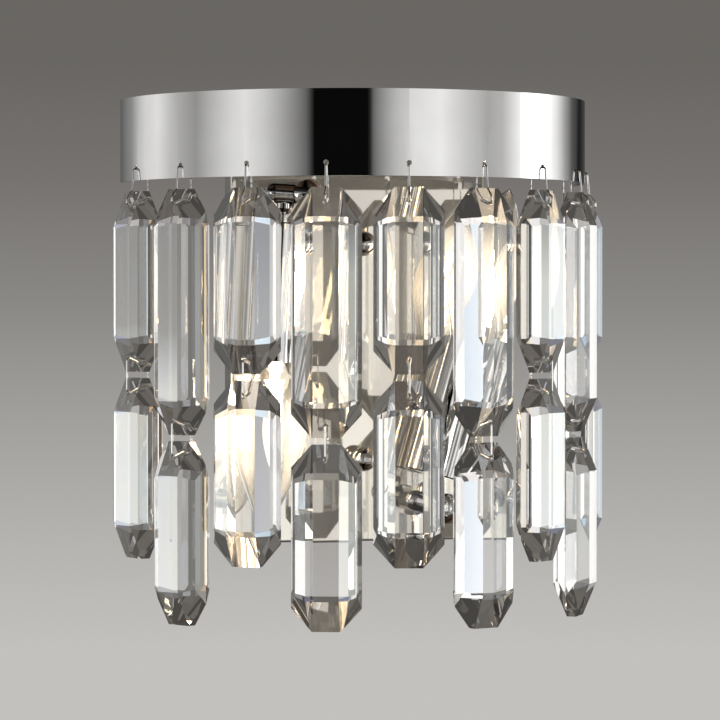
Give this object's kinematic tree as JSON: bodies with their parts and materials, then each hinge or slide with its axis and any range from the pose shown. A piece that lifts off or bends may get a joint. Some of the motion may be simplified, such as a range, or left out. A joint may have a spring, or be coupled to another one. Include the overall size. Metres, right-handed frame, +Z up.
{
  "type": "crystal wall sconce",
  "caption": "Wall light with a half-round polished metal collar, hanging strings of cut crystals and two candle lamps on a shallow back plate.",
  "frame": {"origin": "on the wall plane, midway between the two cap nuts that hold the back plate (centre of the wall bracket)", "axes": "+Z up, +Y into the wall, so the front of the sconce faces -Y and +X is to the right seen from the front"},
  "size_m": [0.2437, 0.1246, 0.2492],
  "materials": {
    "chrome": "polished chrome plate",
    "satin_plate": "satin plated",
    "zinc_steel": "zinc plated",
    "white_plastic": "glossy white",
    "lead_sheath": "smooth white sheath",
    "crystal": "cut and polished clear crystal",
    "wire": "bright drawn wire",
    "bulb_glass": "clear candle glass, lit",
    "bulb_metal": "nickel plated base"
  },
  "bodies": {
    "frame": {"wall_bracket": "zinc_steel", "mounting_studs": "zinc_steel", "cap_nuts": "chrome", "back_plate": "satin_plate", "collar": "chrome", "collar_crossbar": "zinc_steel", "crossbar_screws": "zinc_steel", "lamp_arms": "chrome", "arm_nuts": "zinc_steel", "boss_nuts": "chrome", "terminal_block": "white_plastic", "internal_leads": "lead_sheath"},
    "lamp_left": {"knuckle_left": "chrome", "nipple_and_lock_nut_left": "chrome", "sleeve_left": "chrome", "lampholder_left": "white_plastic"},
    "bulb_left": {"bulb_glass_left": "bulb_glass", "bulb_base_left": "bulb_metal"},
    "lamp_right": {"knuckle_right": "chrome", "nipple_and_lock_nut_right": "chrome", "sleeve_right": "chrome", "lampholder_right": "white_plastic"},
    "bulb_right": {"bulb_glass_right": "bulb_glass", "bulb_base_right": "bulb_metal"},
    "hook_1": {"hook_1": "wire"},
    "upper_crystal_1": {"upper_crystal_1": "crystal"},
    "link_1": {"link_1": "wire"},
    "lower_crystal_1": {"lower_crystal_1": "crystal"},
    "hook_2": {"hook_2": "wire"},
    "upper_crystal_2": {"upper_crystal_2": "crystal"},
    "link_2": {"link_2": "wire"},
    "lower_crystal_2": {"lower_crystal_2": "crystal"},
    "hook_3": {"hook_3": "wire"},
    "upper_crystal_3": {"upper_crystal_3": "crystal"},
    "link_3": {"link_3": "wire"},
    "lower_crystal_3": {"lower_crystal_3": "crystal"},
    "hook_4": {"hook_4": "wire"},
    "upper_crystal_4": {"upper_crystal_4": "crystal"},
    "link_4": {"link_4": "wire"},
    "lower_crystal_4": {"lower_crystal_4": "crystal"},
    "hook_5": {"hook_5": "wire"},
    "upper_crystal_5": {"upper_crystal_5": "crystal"},
    "link_5": {"link_5": "wire"},
    "lower_crystal_5": {"lower_crystal_5": "crystal"},
    "hook_6": {"hook_6": "wire"},
    "upper_crystal_6": {"upper_crystal_6": "crystal"},
    "link_6": {"link_6": "wire"},
    "lower_crystal_6": {"lower_crystal_6": "crystal"},
    "hook_7": {"hook_7": "wire"},
    "upper_crystal_7": {"upper_crystal_7": "crystal"},
    "link_7": {"link_7": "wire"},
    "lower_crystal_7": {"lower_crystal_7": "crystal"},
    "hook_8": {"hook_8": "wire"},
    "upper_crystal_8": {"upper_crystal_8": "crystal"},
    "link_8": {"link_8": "wire"},
    "lower_crystal_8": {"lower_crystal_8": "crystal"},
    "hook_9": {"hook_9": "wire"},
    "upper_crystal_9": {"upper_crystal_9": "crystal"},
    "link_9": {"link_9": "wire"},
    "lower_crystal_9": {"lower_crystal_9": "crystal"}
  },
  "joints": [
    {"name": "lamp_left_tilt", "type": "hinge", "parent": "frame", "child": "lamp_left", "pos_m": [-0.034, -0.0495, 0.075], "axis": [0, 1, 0], "range_deg": [-8, 6]},
    {"name": "bulb_left_unscrew", "type": "hinge", "parent": "lamp_left", "child": "bulb_left", "pos_m": [-0.04877, -0.0495, -0.00434], "axis": [-0.0523, 0, -0.9986], "continuous": true},
    {"name": "lamp_right_tilt", "type": "hinge", "parent": "frame", "child": "lamp_right", "pos_m": [0.034, -0.0495, -0.075], "axis": [0, 1, 0], "range_deg": [-16, 3]},
    {"name": "bulb_right_unscrew", "type": "hinge", "parent": "lamp_right", "child": "bulb_right", "pos_m": [0.04586, -0.0495, 0.00482], "axis": [0.2756, 0, 0.9613], "continuous": true},
    {"name": "hook_1_swing", "type": "hinge", "parent": "frame", "child": "hook_1", "pos_m": [-0.11119, -0.0269, 0.08755], "axis": [-0.2351, 0.972, 0], "range_deg": [-3, 20]},
    {"name": "upper_crystal_1_sway", "type": "hinge", "parent": "hook_1", "child": "upper_crystal_1", "pos_m": [-0.11119, -0.0269, 0.07016], "axis": [-0.9018, -0.4321, 0], "range_deg": [-1.8, 1.8]},
    {"name": "link_1_sway", "type": "hinge", "parent": "upper_crystal_1", "child": "link_1", "pos_m": [-0.11119, -0.0269, -0.00256], "axis": [-0.9018, -0.4321, 0], "range_deg": [-2, 2]},
    {"name": "lower_crystal_1_sway", "type": "hinge", "parent": "link_1", "child": "lower_crystal_1", "pos_m": [-0.11119, -0.0269, -0.01884], "axis": [-0.9018, -0.4321, 0], "range_deg": [-2, 2]},
    {"name": "hook_2_swing", "type": "hinge", "parent": "frame", "child": "hook_2", "pos_m": [-0.09627, -0.0618, 0.08755], "axis": [-0.5402, 0.8415, 0], "range_deg": [-3, 20]},
    {"name": "upper_crystal_2_sway", "type": "hinge", "parent": "hook_2", "child": "upper_crystal_2", "pos_m": [-0.09627, -0.0618, 0.07016], "axis": [-0.8415, -0.5402, 0], "range_deg": [-1.8, 1.8]},
    {"name": "link_2_sway", "type": "hinge", "parent": "upper_crystal_2", "child": "link_2", "pos_m": [-0.09627, -0.0618, -0.03156], "axis": [-0.8415, -0.5402, 0], "range_deg": [-2, 2]},
    {"name": "lower_crystal_2_sway", "type": "hinge", "parent": "link_2", "child": "lower_crystal_2", "pos_m": [-0.09627, -0.0618, -0.04784], "axis": [-0.8415, -0.5402, 0], "range_deg": [-2, 2]},
    {"name": "hook_3_swing", "type": "hinge", "parent": "frame", "child": "hook_3", "pos_m": [-0.07075, -0.0899, 0.08755], "axis": [-0.7859, 0.6184, 0], "range_deg": [-3, 20]},
    {"name": "upper_crystal_3_sway", "type": "hinge", "parent": "hook_3", "child": "upper_crystal_3", "pos_m": [-0.07075, -0.0899, 0.07016], "axis": [-0.503, -0.8643, 0], "range_deg": [-1.8, 1.8]},
    {"name": "link_3_sway", "type": "hinge", "parent": "upper_crystal_3", "child": "link_3", "pos_m": [-0.07075, -0.0899, -0.00256], "axis": [-0.503, -0.8643, 0], "range_deg": [-2, 2]},
    {"name": "lower_crystal_3_sway", "type": "hinge", "parent": "link_3", "child": "lower_crystal_3", "pos_m": [-0.07075, -0.0899, -0.01884], "axis": [-0.503, -0.8643, 0], "range_deg": [-2, 2]},
    {"name": "hook_4_swing", "type": "hinge", "parent": "frame", "child": "hook_4", "pos_m": [-0.03743, -0.1081, 0.08755], "axis": [-0.9449, 0.3272, 0], "range_deg": [-3, 20]},
    {"name": "upper_crystal_4_sway", "type": "hinge", "parent": "hook_4", "child": "upper_crystal_4", "pos_m": [-0.03743, -0.1081, 0.07016], "axis": [-0.3272, -0.9449, 0], "range_deg": [-1.8, 1.8]},
    {"name": "link_4_sway", "type": "hinge", "parent": "upper_crystal_4", "child": "link_4", "pos_m": [-0.03743, -0.1081, -0.03156], "axis": [-0.3272, -0.9449, 0], "range_deg": [-2, 2]},
    {"name": "lower_crystal_4_sway", "type": "hinge", "parent": "link_4", "child": "lower_crystal_4", "pos_m": [-0.03743, -0.1081, -0.04784], "axis": [-0.3272, -0.9449, 0], "range_deg": [-2, 2]},
    {"name": "hook_5_swing", "type": "hinge", "parent": "frame", "child": "hook_5", "pos_m": [0, -0.1144, 0.08755], "axis": [-1, 0, 0], "range_deg": [-3, 20]},
    {"name": "upper_crystal_5_sway", "type": "hinge", "parent": "hook_5", "child": "upper_crystal_5", "pos_m": [0, -0.1144, 0.07016], "axis": [-0.2079, -0.9781, 0], "range_deg": [-1.8, 1.8]},
    {"name": "link_5_sway", "type": "hinge", "parent": "upper_crystal_5", "child": "link_5", "pos_m": [0, -0.1144, -0.00256], "axis": [-0.2079, -0.9781, 0], "range_deg": [-2, 2]},
    {"name": "lower_crystal_5_sway", "type": "hinge", "parent": "link_5", "child": "lower_crystal_5", "pos_m": [0, -0.1144, -0.01884], "axis": [-0.2079, -0.9781, 0], "range_deg": [-2, 2]},
    {"name": "hook_6_swing", "type": "hinge", "parent": "frame", "child": "hook_6", "pos_m": [0.03743, -0.1081, 0.08755], "axis": [-0.9449, -0.3272, 0], "range_deg": [-3, 20]},
    {"name": "upper_crystal_6_sway", "type": "hinge", "parent": "hook_6", "child": "upper_crystal_6", "pos_m": [0.03743, -0.1081, 0.07016], "axis": [0.3272, -0.9449, 0], "range_deg": [-1.8, 1.8]},
    {"name": "link_6_sway", "type": "hinge", "parent": "upper_crystal_6", "child": "link_6", "pos_m": [0.03743, -0.1081, -0.03156], "axis": [0.3272, -0.9449, 0], "range_deg": [-2, 2]},
    {"name": "lower_crystal_6_sway", "type": "hinge", "parent": "link_6", "child": "lower_crystal_6", "pos_m": [0.03743, -0.1081, -0.04784], "axis": [0.3272, -0.9449, 0], "range_deg": [-2, 2]},
    {"name": "hook_7_swing", "type": "hinge", "parent": "frame", "child": "hook_7", "pos_m": [0.07075, -0.0899, 0.08755], "axis": [-0.7859, -0.6184, 0], "range_deg": [-3, 20]},
    {"name": "upper_crystal_7_sway", "type": "hinge", "parent": "hook_7", "child": "upper_crystal_7", "pos_m": [0.07075, -0.0899, 0.07016], "axis": [0.6184, -0.7859, 0], "range_deg": [-1.8, 1.8]},
    {"name": "link_7_sway", "type": "hinge", "parent": "upper_crystal_7", "child": "link_7", "pos_m": [0.07075, -0.0899, -0.00256], "axis": [0.6184, -0.7859, 0], "range_deg": [-2, 2]},
    {"name": "lower_crystal_7_sway", "type": "hinge", "parent": "link_7", "child": "lower_crystal_7", "pos_m": [0.07075, -0.0899, -0.01884], "axis": [0.6184, -0.7859, 0], "range_deg": [-2, 2]},
    {"name": "hook_8_swing", "type": "hinge", "parent": "frame", "child": "hook_8", "pos_m": [0.09627, -0.0618, 0.08755], "axis": [-0.5402, -0.8415, 0], "range_deg": [-3, 20]},
    {"name": "upper_crystal_8_sway", "type": "hinge", "parent": "hook_8", "child": "upper_crystal_8", "pos_m": [0.09627, -0.0618, 0.07016], "axis": [0.8415, -0.5402, 0], "range_deg": [-1.8, 1.8]},
    {"name": "link_8_sway", "type": "hinge", "parent": "upper_crystal_8", "child": "link_8", "pos_m": [0.09627, -0.0618, -0.03156], "axis": [0.8415, -0.5402, 0], "range_deg": [-2, 2]},
    {"name": "lower_crystal_8_sway", "type": "hinge", "parent": "link_8", "child": "lower_crystal_8", "pos_m": [0.09627, -0.0618, -0.04784], "axis": [0.8415, -0.5402, 0], "range_deg": [-2, 2]},
    {"name": "hook_9_swing", "type": "hinge", "parent": "frame", "child": "hook_9", "pos_m": [0.11119, -0.0269, 0.08755], "axis": [-0.2351, -0.972, 0], "range_deg": [-3, 20]},
    {"name": "upper_crystal_9_sway", "type": "hinge", "parent": "hook_9", "child": "upper_crystal_9", "pos_m": [0.11119, -0.0269, 0.07016], "axis": [0.972, -0.2351, 0], "range_deg": [-1.8, 1.8]},
    {"name": "link_9_sway", "type": "hinge", "parent": "upper_crystal_9", "child": "link_9", "pos_m": [0.11119, -0.0269, -0.00256], "axis": [0.972, -0.2351, 0], "range_deg": [-2, 2]},
    {"name": "lower_crystal_9_sway", "type": "hinge", "parent": "link_9", "child": "lower_crystal_9", "pos_m": [0.11119, -0.0269, -0.01884], "axis": [0.972, -0.2351, 0], "range_deg": [-2, 2]}
  ]
}
